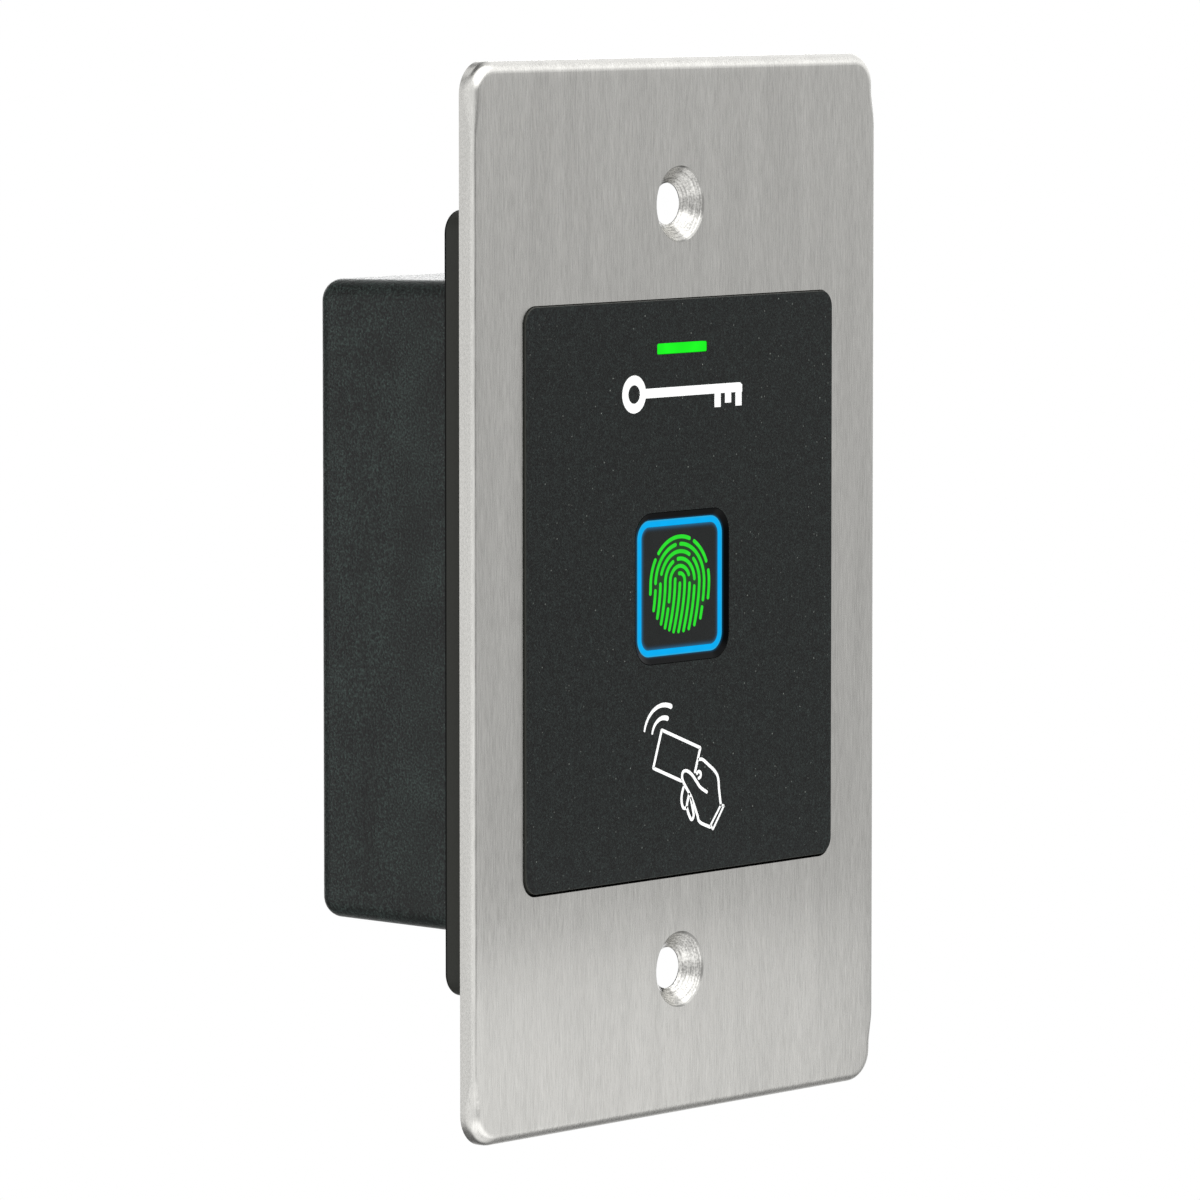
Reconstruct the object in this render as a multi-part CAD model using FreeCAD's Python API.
import FreeCAD, Part
import math
import os

# Flush-mount access terminal: a fingerprint reader and card reader on a single-gang steel wall plate.
#
# Frame: +Z is up, +X is to the right of a person facing the terminal, and +Y runs into the wall.
# The origin is midway between the two wall screws, on the back of the plate, which is the wall plane.
# All lengths are in millimetres.

V = FreeCAD.Vector
INTO_WALL = V(0, 1, 0)

# ---------------------------------------------------------------- driving dimensions

# Steel face plate
PLATE_WIDTH = 70.0
PLATE_HEIGHT = 115.0
PLATE_THICKNESS = 2.0
PLATE_CORNER = 3.5
PLATE_END_ROUND = 1.3       # the brushing belt rolls over the ends and their corners
PLATE_SIDE_ROUND = 0.5
PLATE_ROUND_BLEND = 4.5     # length of side over which the one radius runs into the other
WALL_SCREW_PITCH = 83.3
WALL_SCREW_HOLE_R = 2.25
COUNTERSINK_R = 4.15        # a 90 degree cone
WINDOW_WIDTH = 53.8
WINDOW_HEIGHT = 63.0
WINDOW_CORNER = 2.0
STUD_SEAT_DEPTH = 1.0       # how deep each stud is clinched into the plate

# Front housing: a raised panel that fills the plate's window, on a flange behind the plate
PANEL_WIDTH = 53.5
PANEL_HEIGHT = 62.6
PANEL_CORNER = 1.85
PANEL_CENTRE_Z = 0.1        # it sits a little high, so the gap shows most along its lower edge
PANEL_EDGE_ROUND = 0.12
PANEL_PROUD = 0.3
PANEL_SKIN = 2.0
FLANGE_WIDTH = 67.0
FLANGE_HEIGHT = 83.6
FLANGE_THICKNESS = 3.5
FLANGE_CORNER = 2.5
NOTCH_WIDTH = 16.0
NOTCH_FLOOR_Z = 37.0
CAVITY_WIDTH = 42.4
CAVITY_HEIGHT = 57.6

# Rear cover
COVER_WIDTH = 49.9
COVER_HEIGHT = 70.4
COVER_CORNER = 2.4
COVER_BACK_ROUND = 1.9
COVER_BACK_Y = 29.0
COVER_WALL = 2.0
COVER_DRAFT = 0.45          # how far each side leans in over the cover's depth
COVER_CENTRE_Z = -1.25
SEAM_HEIGHT = 0.3           # the cover's rim sits this far off the flange, on its rubber seal
SEAM_DEPTH = 0.45           # how far the seal is set in, which leaves a shadow gap round the cover
TOWER_R = 3.0
TOWER_X = 19.2
TOWER_Z = (26.0, -28.4)
TOWER_TOP_Y = 23.0
SCREW_SEAT_Y = 26.5
COVER_SCREW_R = 1.25
WELL_R = 3.6                # outside of the cover's screw wells
WELL_BORE_R = 2.95
COVER_SCREW_HOLE_R = 1.6

# Fingerprint reader
READER_Z = 0.2
SENSOR_OPENING = 16.5
BEZEL_SIZE = 16.4
BEZEL_CORNER = 2.7
BEZEL_LAND = 0.04           # flat rim round the slope
BEZEL_LIP = 19.0
RING_OUTER = 14.8
RING_INNER = 13.4
RING_OUTER_CORNER = 2.0
RING_INNER_CORNER = 1.3
SLIP = 0.02                 # clearance all round between parts that drop or push into each other
WINDOW_SINK = 0.35          # the reader's glass sits this far below the panel's face
GLASS_THICKNESS = 0.6
SENSOR_SCREW_X = 12.0

# Circuit boards
BOARD_FRONT_Y = 6.0
BOARD_THICKNESS = 1.6
BOARD_WIDTH = 41.0
BOARD_HEIGHT = 57.0
BOARD_CENTRE_Z = -0.6
BOARD_SCREW_X = 17.6
BOARD_SCREW_Z = (20.0, -21.0)
BOARD_SCREW_R = 0.83
BOARD_POST_R = 2.2
SENSOR_POST_R = 2.0
SENSOR_BOARD_Y = 0.7
SENSOR_BOARD_THICKNESS = 1.0

# Status light, antenna and rear fittings
STATUS_Z = 26.1
STATUS_WIDTH = 8.7
STATUS_HEIGHT = 1.1
STATUS_CORNER = 0.2
STATUS_GAP = 0.05           # clearance between the light pipe and its slot
ANTENNA_Z = -20.0
STUD_R = 1.25
STUD_X = 28.5
STUD_Z = 37.2
STUD_HOLE_R = 1.35
NUT_SEAT_Y = 1.8
NUT_HEIGHT = 1.5
NUT_R = 2.8                 # out to the hexagon's points
NUT_POCKET_R = 2.95
GROMMET_Z = -18.0
GROMMET_BORE_R = 3.5
GROMMET_NECK_R = 5.98
TAMPER_X = 13.0
TAMPER_Z = 0.0
TAMPER_PLUG_R = 2.88
TAMPER_HEAD_Y = (23.5, 25.5)

# Lock relay, centred here on the main board
RELAY_X = -9.5
RELAY_Z = 8.0
RELAY_HINGE_Y = 19.4
RELAY_CORE_Z = RELAY_Z - 0.3
RELAY_CORE_R = 1.5

# Running values that follow from the ones above
PLATE_FRONT_Y = -PLATE_THICKNESS
PANEL_FRONT_Y = PLATE_FRONT_Y - PANEL_PROUD
SKIN_BACK_Y = PANEL_FRONT_Y + PANEL_SKIN
GLASS_FRONT_Y = PANEL_FRONT_Y + WINDOW_SINK
BOARD_BACK_Y = BOARD_FRONT_Y + BOARD_THICKNESS
SENSOR_BOARD_BACK_Y = SENSOR_BOARD_Y + SENSOR_BOARD_THICKNESS
STUD_TIP_Y = NUT_SEAT_Y + NUT_HEIGHT + 0.1
SCREW_CLEARANCE = 0.02      # between a screw's shank and the hole it has cut

TOWERS = [(side * TOWER_X, z) for side in (-1, 1) for z in TOWER_Z]
SENSOR_SCREWS = [(side * SENSOR_SCREW_X, READER_Z) for side in (-1, 1)]
BOARD_SCREWS = [(side * BOARD_SCREW_X, z) for side in (-1, 1) for z in BOARD_SCREW_Z]
STUDS = [(side * STUD_X, end * STUD_Z) for side in (-1, 1) for end in (-1, 1)]
WALL_SCREWS = [(0.0, end * WALL_SCREW_PITCH / 2) for end in (-1, 1)]


# ---------------------------------------------------------------- shape helpers

def outline(width, height, corner, y, x=0.0, z=0.0):
    """A rounded rectangle as a closed wire in the plane at y, centred on x and z."""
    half_w, half_h = width / 2, height / 2
    in_w, in_h = half_w - corner, half_h - corner
    cut = corner * 0.5 ** 0.5
    edges = []
    for sx, sz, first in ((1, 1, "top"), (1, -1, "side"), (-1, -1, "top"), (-1, 1, "side")):
        on_side = V(x + sx * half_w, y, z + sz * in_h)
        on_end = V(x + sx * in_w, y, z + sz * half_h)
        middle = V(x + sx * (in_w + cut), y, z + sz * (in_h + cut))
        start, end = (on_end, on_side) if first == "top" else (on_side, on_end)
        edges.append((start, middle, end))
    joined = []
    for this, following in zip(edges, edges[1:] + edges[:1]):
        joined.append(Part.Arc(*this).toShape())
        joined.append(Part.LineSegment(this[2], following[0]).toShape())
    return Part.Wire(joined)


def slab(width, height, corner, y0, y1, x=0.0, z=0.0):
    """A rounded rectangle that runs from y0 to y1."""
    return Part.Face(outline(width, height, corner, y0, x, z)).extrude(V(0, y1 - y0, 0))


def post(radius, y0, y1, x=0.0, z=0.0):
    """A round bar along Y."""
    return Part.makeCylinder(radius, y1 - y0, V(x, y0, z), INTO_WALL)


def block(x0, x1, y0, y1, z0, z1):
    """A plain box between two corners."""
    return Part.makeBox(x1 - x0, y1 - y0, z1 - z0, V(x0, y0, z0))


def fused(shapes):
    """One solid from shapes that touch or overlap."""
    return shapes[0].multiFuse(shapes[1:]).removeSplitter()


def cut_all(body, tools):
    """body with every tool taken out of it."""
    return body.cut(Part.makeCompound(tools))


def edges_at(shape, y, margin=1e-4):
    """The edges of shape that lie wholly in the plane at y."""
    boxes = [(edge, edge.BoundBox) for edge in shape.Edges]
    return [edge for edge, box in boxes if abs(box.YMin - y) < margin and abs(box.YMax - y) < margin]


def pan_screw(head_r, head_h, shank_r, length, x, seat_y, z):
    """A cross-head screw driven towards the front: its head sits behind seat_y, its shank in front."""
    head = post(head_r, seat_y, seat_y + head_h, x, z)
    head = head.makeFillet(head_h * 0.45, edges_at(head, seat_y + head_h))
    slot_half, slot_arm, slot_y = head_r * 0.11, head_r * 0.58, seat_y + head_h * 0.45
    recess = [
        block(x - slot_arm, x + slot_arm, slot_y, seat_y + head_h + 1, z - slot_half, z + slot_half),
        block(x - slot_half, x + slot_half, slot_y, seat_y + head_h + 1, z - slot_arm, z + slot_arm),
    ]
    shank = post(shank_r, seat_y - length, seat_y, x, z)
    shank = shank.makeChamfer(shank_r * 0.5, edges_at(shank, seat_y - length))
    return cut_all(fused([head, shank]), recess)


def chip(width, height, thickness, x, z, y=BOARD_BACK_Y):
    """A moulded component package that stands on the back of a board."""
    body = slab(width, height, 0.2, y, y + thickness, x, z)
    return body.makeChamfer(0.15, edges_at(body, y + thickness))


# ---------------------------------------------------------------- face plate and its fixings

def face_plate():
    """Brushed steel plate with a window for the panel, two countersunk holes and four stud seats."""
    plate = round_front_edge(plate_blank())
    tools = [slab(WINDOW_WIDTH, WINDOW_HEIGHT, WINDOW_CORNER, PLATE_FRONT_Y - 1, 1)]
    sink_depth = COUNTERSINK_R - WALL_SCREW_HOLE_R
    for x, z in WALL_SCREWS:
        tools.append(post(WALL_SCREW_HOLE_R, PLATE_FRONT_Y - 1, 1, x, z))
        cone_start = V(x, PLATE_FRONT_Y, z)
        tools.append(Part.makeCone(COUNTERSINK_R, WALL_SCREW_HOLE_R, sink_depth, cone_start, INTO_WALL))
    for x, z in STUDS:
        tools.append(post(STUD_R, -STUD_SEAT_DEPTH, 1, x, z))
    return cut_all(plate, tools)


def plate_blank():
    """The plate before its edges are rounded. Each side has a short stretch at either end for the blend."""
    edges = []
    for edge in outline(PLATE_WIDTH, PLATE_HEIGHT, PLATE_CORNER, PLATE_FRONT_Y).Edges:
        start, end = edge.valueAt(edge.FirstParameter), edge.valueAt(edge.LastParameter)
        if abs(start.x - end.x) > 1e-6:
            edges.append(edge)
            continue
        step = (end - start).normalize() * PLATE_ROUND_BLEND
        stops = [start, start + step, end - step, end]
        edges += [Part.LineSegment(a, b).toShape() for a, b in zip(stops, stops[1:])]
    return Part.Face(Part.Wire(edges)).extrude(V(0, PLATE_THICKNESS, 0))


def round_front_edge(blank):
    """Rounds the plate's front edge, more at the ends and corners than along the sides."""
    document = FreeCAD.newDocument("edge_round")
    base = document.addObject("Part::Feature", "blank")
    base.Shape = blank
    rounded = document.addObject("Part::Fillet", "rounded")
    rounded.Base = base
    radii = []
    for number, edge in enumerate(blank.Edges, start=1):
        box = edge.BoundBox
        if abs(box.YMin - PLATE_FRONT_Y) > 1e-4 or abs(box.YMax - PLATE_FRONT_Y) > 1e-4:
            continue
        ends = [end_round(edge.valueAt(t)) for t in (edge.FirstParameter, edge.LastParameter)]
        radii.append((number, ends[0], ends[1]))
    rounded.Edges = radii
    document.recompute()
    shape = rounded.Shape.copy()
    FreeCAD.closeDocument(document.Name)
    return shape


def end_round(point):
    """The edge radius at a corner point of the blank's outline."""
    at_end = abs(point.z) > PLATE_HEIGHT / 2 - PLATE_CORNER - 1e-3
    return PLATE_END_ROUND if at_end else PLATE_SIDE_ROUND


def plate_studs():
    """Four studs clinched into the back of the plate."""
    studs = []
    for x, z in STUDS:
        stud = post(STUD_R, -STUD_SEAT_DEPTH, STUD_TIP_Y, x, z)
        studs.append(stud.makeChamfer(0.3, edges_at(stud, STUD_TIP_Y)))
    return Part.makeCompound(studs)


def plate_nuts():
    """Four thin hexagon nuts, each in its pocket in the back of the flange."""
    nuts = []
    for x, z in STUDS:
        angles = [math.radians(60 * n) for n in range(7)]
        y0 = NUT_SEAT_Y + 0.05
        ring = [V(x + NUT_R * math.cos(a), y0, z + NUT_R * math.sin(a)) for a in angles]
        hexagon = Part.Face(Part.makePolygon(ring)).extrude(V(0, NUT_HEIGHT, 0))
        nuts.append(hexagon.cut(post(STUD_R + SCREW_CLEARANCE, 0, STUD_TIP_Y + 1, x, z)))
    return Part.makeCompound(nuts)


def plate_seal():
    """Rubber ring between the plate and the flange, round the window."""
    return slab(60, 69, 3.5, 0, 0.7).cut(slab(57.6, 66.6, 2.3, -1, 2))


# ---------------------------------------------------------------- front housing

def front_housing():
    """One moulding: the raised panel, the flange behind the plate, and the posts and towers inside."""
    panel = slab(PANEL_WIDTH, PANEL_HEIGHT, PANEL_CORNER, PANEL_FRONT_Y, 1, z=PANEL_CENTRE_Z)
    panel = panel.makeFillet(PANEL_EDGE_ROUND, edges_at(panel, PANEL_FRONT_Y))
    flange = slab(FLANGE_WIDTH, FLANGE_HEIGHT, FLANGE_CORNER, 0, FLANGE_THICKNESS)
    flange = flange.makeFillet(0.5, edges_at(flange, FLANGE_THICKNESS))
    cavity = slab(CAVITY_WIDTH, CAVITY_HEIGHT, 3.0, SKIN_BACK_Y, FLANGE_THICKNESS + 1)
    shell = cut_all(fused([panel, flange]), flange_notches() + [cavity])
    body = fused([shell, locating_rib()] + housing_posts())
    return cut_all(body, panel_openings() + seal_grooves() + stud_pockets() + pilot_holes())


def flange_notches():
    """Open notches at the top and bottom of the flange that leave the wall screws clear."""
    tall = 20.0
    return [
        slab(NOTCH_WIDTH, tall, 3.0, -1, FLANGE_THICKNESS + 1, z=end * (NOTCH_FLOOR_Z + tall / 2))
        for end in (-1, 1)
    ]


def locating_rib():
    """The rib on the flange that the rear cover slips over."""
    y0, y1, clearance, thick = FLANGE_THICKNESS - 0.5, FLANGE_THICKNESS + 2, 0.25, 1.2
    width = COVER_WIDTH - 2 * (COVER_WALL + clearance)
    height = COVER_HEIGHT - 2 * (COVER_WALL + clearance)
    outer = slab(width, height, 1.2, y0, y1, z=COVER_CENTRE_Z)
    return outer.cut(slab(width - 2 * thick, height - 2 * thick, 0.6, y0 - 1, y1 + 1, z=COVER_CENTRE_Z))


def housing_posts():
    """Corner towers for the rear cover, and posts for the two boards."""
    towers = [post(TOWER_R, SKIN_BACK_Y - 0.2, TOWER_TOP_Y, x, z) for x, z in TOWERS]
    board_posts = [post(BOARD_POST_R, SKIN_BACK_Y - 0.2, BOARD_FRONT_Y, x, z) for x, z in BOARD_SCREWS]
    sensor_posts = [post(SENSOR_POST_R, SKIN_BACK_Y - 0.2, SENSOR_BOARD_Y, x, z) for x, z in SENSOR_SCREWS]
    return towers + board_posts + sensor_posts


def panel_openings():
    """The opening for the fingerprint reader and the slot for the status light."""
    depth = (PANEL_FRONT_Y - 1, SKIN_BACK_Y + 1)
    reader_corner = BEZEL_CORNER + (SENSOR_OPENING - BEZEL_SIZE) / 2
    slot_width, slot_height = STATUS_WIDTH + 2 * STATUS_GAP, STATUS_HEIGHT + 2 * STATUS_GAP
    return [
        slab(SENSOR_OPENING, SENSOR_OPENING, reader_corner, *depth, z=READER_Z),
        slab(slot_width, slot_height, STATUS_CORNER + STATUS_GAP, *depth, z=STATUS_Z),
    ]


def seal_grooves():
    """Grooves for the plate seal in the front of the flange and the cover seal in its back."""
    return [plate_seal(), cover_seal()]


def stud_pockets():
    """Clearance holes for the plate's studs, with a round pocket behind for each nut."""
    holes = [post(STUD_HOLE_R, -1, FLANGE_THICKNESS + 1, x, z) for x, z in STUDS]
    return holes + [post(NUT_POCKET_R, NUT_SEAT_Y, FLANGE_THICKNESS + 1, x, z) for x, z in STUDS]


def pilot_holes():
    """Blind holes that the cover, board and reader screws cut into."""
    cover_r, board_r = COVER_SCREW_R + SCREW_CLEARANCE, BOARD_SCREW_R + SCREW_CLEARANCE
    cover_floor, board_floor, reader_floor = 12.0, 0.6, -1.4
    cover = [post(cover_r, cover_floor, TOWER_TOP_Y + 1, x, z) for x, z in TOWERS]
    board = [post(board_r, board_floor, BOARD_FRONT_Y + 1, x, z) for x, z in BOARD_SCREWS]
    reader = [post(board_r, reader_floor, SENSOR_BOARD_Y + 1, x, z) for x, z in SENSOR_SCREWS]
    return cover + board + reader


# ---------------------------------------------------------------- fingerprint reader

def sensor_bezel():
    """Gloss black frame: a slope that leads the finger to the glass, and a lip behind the panel."""
    frame = fused([
        slab(BEZEL_SIZE, BEZEL_SIZE, BEZEL_CORNER, PANEL_FRONT_Y, SKIN_BACK_Y + 0.1, z=READER_Z),
        slab(BEZEL_LIP, BEZEL_LIP, 3.0, SKIN_BACK_Y, SENSOR_BOARD_Y, z=READER_Z),
    ])
    rim = BEZEL_SIZE - 2 * BEZEL_LAND
    slope = Part.makeLoft([
        outline(rim, rim, BEZEL_CORNER - BEZEL_LAND, PANEL_FRONT_Y, z=READER_Z),
        outline(RING_OUTER, RING_OUTER, RING_OUTER_CORNER, GLASS_FRONT_Y, z=READER_Z),
    ], True, True)
    bore = slab(RING_OUTER, RING_OUTER, RING_OUTER_CORNER, GLASS_FRONT_Y, SENSOR_BOARD_Y + 1, z=READER_Z)
    return frame.cut(fused([slope, bore]))


def light_ring():
    """Clear light guide that carries the reader's light to the face, round the glass."""
    size, corner = RING_OUTER - 2 * SLIP, RING_OUTER_CORNER - SLIP
    outer = slab(size, size, corner, GLASS_FRONT_Y, 0.1, z=READER_Z)
    return outer.cut(slab(RING_INNER, RING_INNER, RING_INNER_CORNER, GLASS_FRONT_Y - 1, 1, z=READER_Z))


def sensor_window():
    """Black coated glass that the finger touches."""
    size, corner = RING_INNER - 2 * SLIP, RING_INNER_CORNER - SLIP
    glass = slab(size, size, corner, GLASS_FRONT_Y, GLASS_FRONT_Y + GLASS_THICKNESS, z=READER_Z)
    return glass.makeChamfer(0.04, edges_at(glass, GLASS_FRONT_Y))


def sensor_chip():
    """Capacitive fingerprint sensor under the glass."""
    return slab(12.4, 12.4, 0.6, GLASS_FRONT_Y + GLASS_THICKNESS, SENSOR_BOARD_Y, z=READER_Z)


def sensor_board():
    """Small board that carries the sensor, its lights and its processor."""
    board = slab(28.0, 18.0, 1.5, SENSOR_BOARD_Y, SENSOR_BOARD_BACK_Y, z=READER_Z)
    return cut_all(board, [post(0.95, 0, 3, x, z) for x, z in SENSOR_SCREWS])


def sensor_leds():
    """Eight chip lights under the light ring, two to a side."""
    under_ring, along_ring = 0.25, 0.5
    middle = (RING_OUTER + RING_INNER) / 4
    lights = []
    for along in (-3.0, 3.0):
        for side in (-middle, middle):
            for x, z, half_x, half_z in (
                (along, side, along_ring, under_ring),
                (side, along, under_ring, along_ring),
            ):
                z += READER_Z
                lights.append(block(x - half_x, x + half_x, 0.2, SENSOR_BOARD_Y, z - half_z, z + half_z))
    return Part.makeCompound(lights)


def sensor_processor():
    """Processor on the back of the sensor board."""
    return chip(7.0, 7.0, 0.9, 0, READER_Z + 3.5, SENSOR_BOARD_BACK_Y)


def sensor_screws():
    """Two screws that hold the sensor board to the housing."""
    return Part.makeCompound([
        pan_screw(1.6, 1.1, BOARD_SCREW_R, 3.0, x, SENSOR_BOARD_BACK_Y, z) for x, z in SENSOR_SCREWS
    ])


def flex_connectors():
    """The two flat-cable connectors, one on each board."""
    return Part.makeCompound([
        block(-3.5, 3.5, SENSOR_BOARD_BACK_Y, 2.9, -8.2, -5.2),
        block(-3.5, 3.5, 4.4, BOARD_FRONT_Y, -8.2, -5.2),
    ])


def sensor_flex():
    """Flat cable that loops from the sensor board back to the main board."""
    half_width, thickness, mouth_z, bend_z = 2.5, 0.15, -8.2, -11.8
    near_y, far_y = 2.2, 5.1
    outer_r = (far_y - near_y) / 2
    start, across = V(-half_width, (near_y + far_y) / 2, bend_z), V(1, 0, 0)
    bend = Part.makeCylinder(outer_r, 2 * half_width, start, across)
    bend = bend.cut(Part.makeCylinder(outer_r - thickness, 2 * half_width, start, across))
    bend = bend.cut(block(-half_width, half_width, near_y - 1, far_y + 1, bend_z, bend_z + 5))
    runs = [
        block(-half_width, half_width, near_y, near_y + thickness, bend_z, mouth_z),
        block(-half_width, half_width, far_y - thickness, far_y, bend_z, mouth_z),
    ]
    return fused([bend] + runs)


# ---------------------------------------------------------------- card reader and status light

def antenna_coil():
    """Racetrack winding behind the lower panel that reads the card."""
    coil = slab(30.0, 17.0, 8.4, SKIN_BACK_Y, SKIN_BACK_Y + 1.9, z=ANTENNA_Z)
    return coil.cut(slab(26.0, 13.0, 6.4, SKIN_BACK_Y - 1, SKIN_BACK_Y + 3, z=ANTENNA_Z))


def antenna_leads():
    """The winding's two ends, which run straight back to the main board."""
    return Part.makeCompound([
        post(0.25, SKIN_BACK_Y + 1.9, BOARD_FRONT_Y, x, ANTENNA_Z + 7.5) for x in (-5.0, 5.0)
    ])


def status_light_pipe():
    """Bar that carries the status light from the main board to the panel."""
    front_y, back_y = PANEL_FRONT_Y + 0.12, BOARD_FRONT_Y - 0.9
    bar = slab(STATUS_WIDTH, STATUS_HEIGHT, STATUS_CORNER, front_y, back_y, z=STATUS_Z)
    lip = slab(11.0, 2.6, 0.5, SKIN_BACK_Y, SKIN_BACK_Y + 0.8, z=STATUS_Z)
    return fused([bar, lip])


def status_leds():
    """Two chip lights behind the light pipe."""
    return Part.makeCompound([
        block(x - 1.0, x + 1.0, BOARD_FRONT_Y - 0.8, BOARD_FRONT_Y, STATUS_Z - 0.6, STATUS_Z + 0.6)
        for x in (-2.4, 2.4)
    ])


# ---------------------------------------------------------------- main board and its parts

HEADER_PITCH = 2.54
HEADER_Z = -21.93
HEADER_PIN_HOLE_R = 0.5
RELAY_PIN_HOLE_R = 0.55
HEADER_PINS = [
    ((n - 4.5) * HEADER_PITCH, HEADER_Z + row * HEADER_PITCH / 2) for n in range(10) for row in (-1, 1)
]
RELAY_PINS = [(RELAY_X + dx, RELAY_Z + dz) for dx, dz in ((-5, 6), (5, 6), (-5, -6), (5, -6), (0, -6))]


def main_board():
    """Main circuit board, notched round the corner towers and drilled for its screws and pins."""
    board = slab(BOARD_WIDTH, BOARD_HEIGHT, 1.0, BOARD_FRONT_Y, BOARD_BACK_Y, z=BOARD_CENTRE_Z)
    through = (BOARD_FRONT_Y - 1, BOARD_BACK_Y + 1)
    tools = [post(TOWER_R + 0.5, *through, x, z) for x, z in TOWERS]
    tools += [post(1.1, *through, x, z) for x, z in BOARD_SCREWS]
    tools += [post(HEADER_PIN_HOLE_R, *through, x, z) for x, z in HEADER_PINS]
    tools += [post(RELAY_PIN_HOLE_R, *through, x, z) for x, z in RELAY_PINS]
    return cut_all(board, tools)


def board_screws():
    """Four screws that hold the main board to its posts."""
    return Part.makeCompound([
        pan_screw(1.9, 1.3, BOARD_SCREW_R, 6.0, x, BOARD_BACK_Y, z) for x, z in BOARD_SCREWS
    ])


def main_processor():
    """Quad flat package with a row of legs on each side."""
    x, z, half, pitch, leg_half = -14.0, -9.0, 3.5, 0.8, 0.15
    y0, y1 = BOARD_BACK_Y, BOARD_BACK_Y + 0.3
    legs = []
    for n in range(8):
        start, end = (n - 3.5) * pitch - leg_half, (n - 3.5) * pitch + leg_half
        for side in (-1, 1):
            inner, outer = sorted((side * half, side * (half + 0.9)))
            legs.append(block(x + inner, x + outer, y0, y1, z + start, z + end))
            legs.append(block(x + start, x + end, y0, y1, z + inner, z + outer))
    return Part.makeCompound([chip(2 * half, 2 * half, 1.2, x, z)] + legs)


def voltage_regulator():
    """Regulator that turns the door supply into the board's own voltage."""
    return chip(6.5, 6.1, 2.3, 2.8, 3.5)


def power_inductor():
    """Square shielded inductor of the supply."""
    return chip(7.0, 7.0, 4.5, -4.0, -10.0)


def capacitors():
    """Three round electrolytic capacitors, each with a rolled top edge."""
    cans = []
    for radius, height, x, z in ((4.0, 11.5, 13.0, -10.5), (3.1, 7.0, 4.5, -8.5), (3.1, 7.0, 6.5, 22.0)):
        can = post(radius, BOARD_BACK_Y, BOARD_BACK_Y + height, x, z)
        cans.append(can.makeFillet(0.6, edges_at(can, BOARD_BACK_Y + height)))
    return Part.makeCompound(cans)


def buzzer():
    """Round sounder with its sound hole."""
    can = post(6.0, BOARD_BACK_Y, BOARD_BACK_Y + 8.5, 11.5, 11.0)
    can = can.makeFillet(0.5, edges_at(can, BOARD_BACK_Y + 8.5))
    return can.cut(post(1.0, BOARD_BACK_Y + 6.0, BOARD_BACK_Y + 9.0, 11.5, 11.0))


def wiring_header():
    """Shrouded header for the door wiring, under the cable grommet."""
    floor_y, top_y = BOARD_BACK_Y + 2.5, BOARD_BACK_Y + 9.0
    shroud = slab(27.5, 7.6, 0.5, BOARD_BACK_Y, top_y, z=HEADER_Z)
    well = slab(25.6, 5.7, 0.3, floor_y, top_y + 1, z=HEADER_Z)
    keyway = block(-2.2, 2.2, floor_y, top_y + 1, HEADER_Z + 2.4, HEADER_Z + 4.4)
    pin_holes = [post(HEADER_PIN_HOLE_R, BOARD_BACK_Y - 1, floor_y + 0.5, x, z) for x, z in HEADER_PINS]
    return cut_all(shroud, [well, keyway] + pin_holes)


def header_pins():
    """Twenty square pins through the header and the board."""
    half = 0.32
    return Part.makeCompound([
        block(x - half, x + half, BOARD_FRONT_Y - 0.8, BOARD_BACK_Y + 8.0, z - half, z + half)
        for x, z in HEADER_PINS
    ])


# ---------------------------------------------------------------- lock relay

def relay_base():
    """Moulded floor of the relay."""
    return slab(14.0, 17.5, 0.6, BOARD_BACK_Y, BOARD_BACK_Y + 1.8, RELAY_X, RELAY_Z)


def relay_case():
    """Thin moulded cap over the relay's works."""
    y0, y1 = BOARD_BACK_Y + 0.3, BOARD_BACK_Y + 15.3
    cap = slab(15.5, 19.0, 1.0, y0, y1, RELAY_X, RELAY_Z)
    cap = cap.makeFillet(0.5, edges_at(cap, y1))
    return cap.cut(slab(14.1, 17.6, 0.65, y0 - 1, y1 - 0.7, RELAY_X, RELAY_Z))


def relay_pins():
    """Five pins from the relay's base through the board."""
    return Part.makeCompound([post(0.5, BOARD_FRONT_Y - 0.8, BOARD_BACK_Y, x, z) for x, z in RELAY_PINS])


def relay_yoke():
    """L-shaped steel frame: its foot lies under the coil and its leg carries the armature."""
    foot = block(RELAY_X - 3.5, RELAY_X + 3.5, 9.4, 10.4, RELAY_Z - 4.5, RELAY_Z + 6.6)
    leg = block(RELAY_X - 3.5, RELAY_X + 3.5, 9.4, RELAY_HINGE_Y - 0.1, RELAY_Z + 5.6, RELAY_Z + 6.6)
    return fused([foot, leg])


def relay_core():
    """Steel core with the pole face that pulls the armature."""
    pole_r = 2.6
    return fused([
        post(RELAY_CORE_R, 10.4, 18.6, RELAY_X, RELAY_CORE_Z),
        post(pole_r, 18.4, 19.0, RELAY_X, RELAY_CORE_Z),
    ])


def relay_bobbin():
    """Plastic bobbin on the core."""
    end_r, tube_r = 4.9, 2.1
    spool = fused([
        post(end_r, 10.4, 11.1, RELAY_X, RELAY_CORE_Z),
        post(tube_r, 10.4, 18.4, RELAY_X, RELAY_CORE_Z),
        post(end_r, 17.7, 18.4, RELAY_X, RELAY_CORE_Z),
    ])
    return spool.cut(post(RELAY_CORE_R + SLIP, 10, 19, RELAY_X, RELAY_CORE_Z))


def relay_winding():
    """Copper winding on the bobbin."""
    outer_r, inner_r = 4.5, 2.12
    coil = post(outer_r, 11.15, 17.65, RELAY_X, RELAY_CORE_Z)
    return coil.cut(post(inner_r, 11, 18, RELAY_X, RELAY_CORE_Z))


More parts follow.
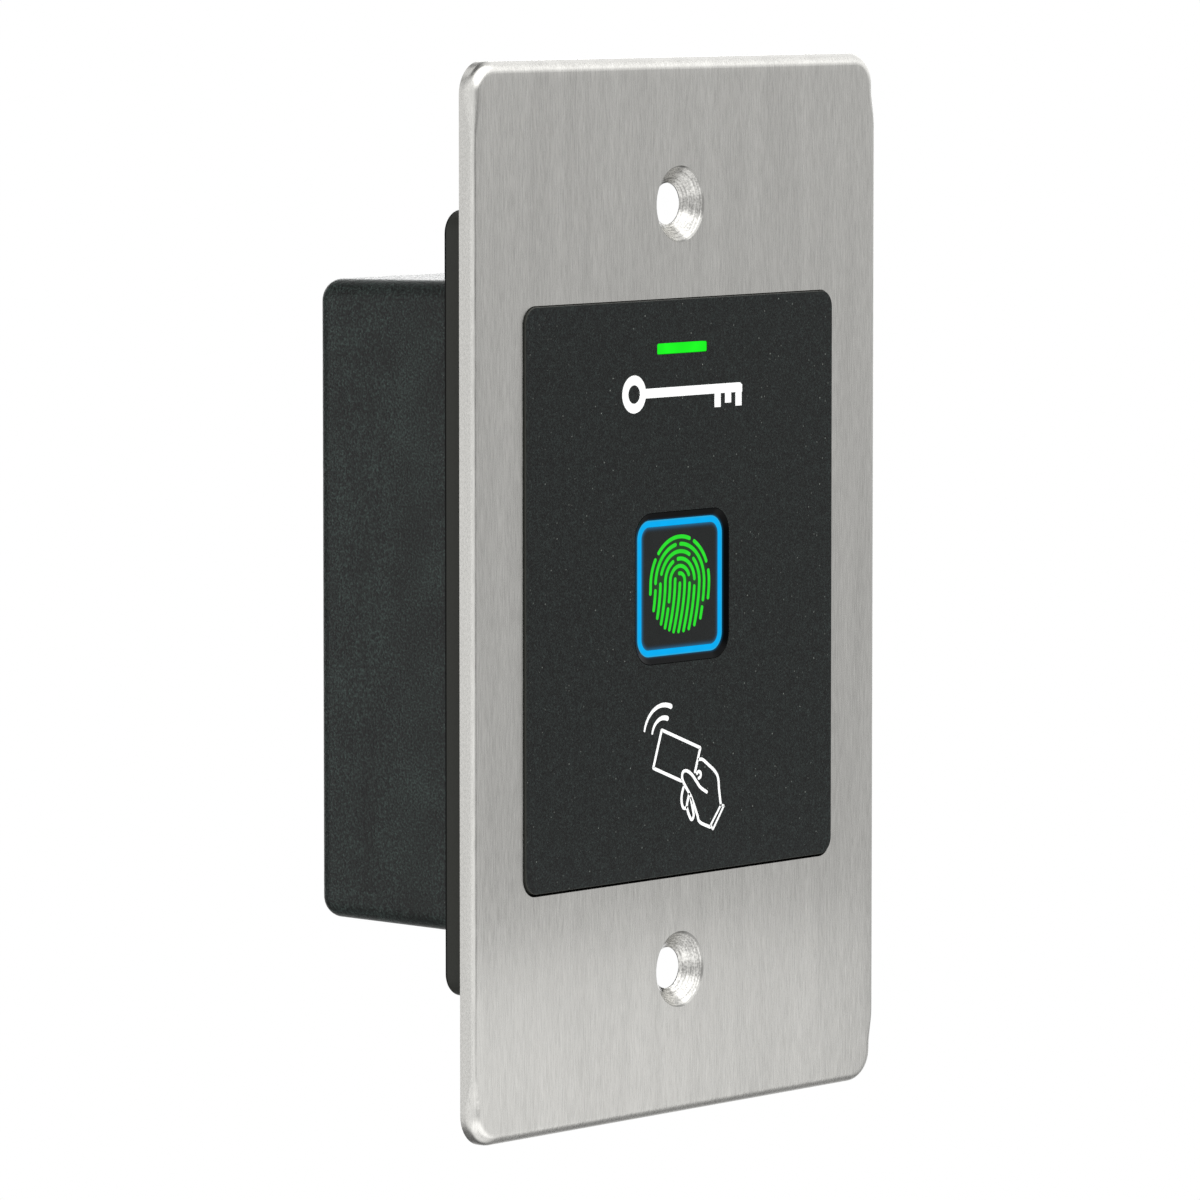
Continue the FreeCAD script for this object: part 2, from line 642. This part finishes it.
def relay_armature():
    """Steel flap that the coil pulls in. It turns on the top edge of the yoke's leg."""
    y0, y1 = RELAY_HINGE_Y + 0.1, RELAY_HINGE_Y + 1.0
    return block(RELAY_X - 3.5, RELAY_X + 3.5, y0, y1, RELAY_Z - 5.2, RELAY_Z + 6.6)


def relay_contact_spring():
    """Leaf on the armature with the moving contact at its tip."""
    top = RELAY_HINGE_Y + 1.0
    leaf = block(RELAY_X - 2.4, RELAY_X + 2.4, top, top + 0.2, RELAY_Z - 8.3, RELAY_Z + 3.0)
    return fused([leaf, post(1.0, top - 0.25, top + 0.45, RELAY_X, RELAY_Z - 7.3)])


def relay_contacts():
    """The two fixed contacts, in front of and behind the moving one, on strips from the base."""
    z_outer, z_inner = RELAY_Z - 8.7, RELAY_Z - 6.3
    open_contact = fused([
        block(RELAY_X - 1.5, RELAY_X + 1.5, 9.4, 19.0, z_outer, z_outer + 0.3),
        block(RELAY_X - 1.5, RELAY_X + 1.5, 18.7, 19.0, z_outer, z_inner),
        post(1.0, 19.0, 19.4, RELAY_X, RELAY_Z - 7.3),
    ])
    closed_contact = fused([
        block(RELAY_X + 2.8, RELAY_X + 4.2, 9.4, 21.6, z_outer, z_outer + 0.3),
        block(RELAY_X - 1.2, RELAY_X + 4.2, 21.3, 21.6, z_outer, z_inner),
        post(1.0, 20.9, 21.3, RELAY_X, RELAY_Z - 7.3),
    ])
    return Part.makeCompound([open_contact, closed_contact])


# ---------------------------------------------------------------- rear cover and its fittings

def cover_loft(inset, y0, y1):
    """The cover's tapered block, set in by inset on every side, from y0 to y1."""
    depth = COVER_BACK_Y - FLANGE_THICKNESS
    sections = []
    for y in (y0, y1):
        lean = inset + COVER_DRAFT * (y - FLANGE_THICKNESS) / depth
        corner = max(COVER_CORNER - inset, 0.8)
        width, height = COVER_WIDTH - 2 * lean, COVER_HEIGHT - 2 * lean
        sections.append(outline(width, height, corner, y, z=COVER_CENTRE_Z))
    return Part.makeLoft(sections, True, True)


def rear_cover():
    """Deep moulded box over the electronics, with screw wells, a cable hole and a light window."""
    rim_y = FLANGE_THICKNESS + SEAM_HEIGHT
    outside = cover_loft(0, rim_y, COVER_BACK_Y)
    outside = outside.makeFillet(COVER_BACK_ROUND, edges_at(outside, COVER_BACK_Y))
    inside = cover_loft(COVER_WALL, rim_y, COVER_BACK_Y - COVER_WALL)
    wells = [post(WELL_R, TOWER_TOP_Y, COVER_BACK_Y - 1, x, z) for x, z in TOWERS]
    body = fused([outside.cut(inside)] + [well.common(outside) for well in wells])
    tools = [post(WELL_BORE_R, SCREW_SEAT_Y, COVER_BACK_Y + 1, x, z) for x, z in TOWERS]
    tools += [post(COVER_SCREW_HOLE_R, TOWER_TOP_Y - 1, COVER_BACK_Y, x, z) for x, z in TOWERS]
    tools.append(post(GROMMET_NECK_R + SLIP, COVER_BACK_Y - 4, COVER_BACK_Y + 1, 0, GROMMET_Z))
    tools.append(post(TAMPER_PLUG_R + SLIP, COVER_BACK_Y - 4, COVER_BACK_Y + 1, TAMPER_X, TAMPER_Z))
    return cut_all(body, tools)


def cover_seal():
    """Rubber ring in the back of the flange that the cover's rim sits on."""
    y0, y1, thick = FLANGE_THICKNESS - 0.7, FLANGE_THICKNESS + SEAM_HEIGHT, 1.1
    width, height = COVER_WIDTH - 2 * SEAM_DEPTH, COVER_HEIGHT - 2 * SEAM_DEPTH
    outer = slab(width, height, 2.6, y0, y1, z=COVER_CENTRE_Z)
    return outer.cut(slab(width - 2 * thick, height - 2 * thick, 1.5, y0 - 1, y1 + 1, z=COVER_CENTRE_Z))


def cover_screws():
    """Four screws from the back, through the cover into the housing's towers."""
    return Part.makeCompound([
        pan_screw(2.6, 1.9, COVER_SCREW_R, 12.0, x, SCREW_SEAT_Y, z) for x, z in TOWERS
    ])


def cable_grommet():
    """Rubber grommet in the back of the cover for the door wiring."""
    outer_flange = post(7.5, COVER_BACK_Y, COVER_BACK_Y + 2.0, 0, GROMMET_Z)
    outer_flange = outer_flange.makeFillet(0.8, edges_at(outer_flange, COVER_BACK_Y + 2.0))
    neck = post(GROMMET_NECK_R, COVER_BACK_Y - COVER_WALL, COVER_BACK_Y, 0, GROMMET_Z)
    inner_flange = post(7.2, COVER_BACK_Y - COVER_WALL - 1.5, COVER_BACK_Y - COVER_WALL, 0, GROMMET_Z)
    body = fused([outer_flange, neck, inner_flange])
    return body.cut(post(GROMMET_BORE_R, COVER_BACK_Y - 5, COVER_BACK_Y + 3, 0, GROMMET_Z))


def tamper_window():
    """Clear plug in the cover that lets daylight reach the tamper sensor if the terminal is pulled off."""
    y1 = COVER_BACK_Y - COVER_WALL
    return fused([
        post(TAMPER_PLUG_R, y1, COVER_BACK_Y - 0.2, TAMPER_X, TAMPER_Z),
        post(3.8, y1 - 0.8, y1, TAMPER_X, TAMPER_Z),
    ])


def tamper_sensor():
    """Light sensor on two tall legs, just inside the window."""
    legs = [post(0.25, BOARD_BACK_Y, TAMPER_HEAD_Y[0] + 0.1, TAMPER_X + dx, TAMPER_Z) for dx in (-1.5, 1.5)]
    return fused([post(2.5, *TAMPER_HEAD_Y, TAMPER_X, TAMPER_Z)] + legs)


# ---------------------------------------------------------------- export

SUBPARTS = [
    face_plate, plate_studs, plate_nuts, plate_seal, front_housing,
    sensor_bezel, light_ring, sensor_window, sensor_chip, sensor_board, sensor_leds, sensor_processor,
    sensor_screws, flex_connectors, sensor_flex,
    antenna_coil, antenna_leads, status_light_pipe, status_leds,
    main_board, board_screws, main_processor, voltage_regulator, power_inductor, capacitors, buzzer,
    wiring_header, header_pins,
    relay_base, relay_case, relay_pins, relay_yoke, relay_core, relay_bobbin, relay_winding,
    relay_armature, relay_contact_spring, relay_contacts,
    rear_cover, cover_seal, cover_screws, cable_grommet, tamper_window, tamper_sensor,
]


def main():
    os.makedirs("parts", exist_ok=True)
    for make in SUBPARTS:
        shape = make()
        if not shape.isValid():
            raise ValueError(make.__name__ + " is not a valid shape")
        shape.exportStep(os.path.join("parts", make.__name__ + ".step"))
        print(make.__name__, "solids", len(shape.Solids), "volume", round(shape.Volume, 1))


main()
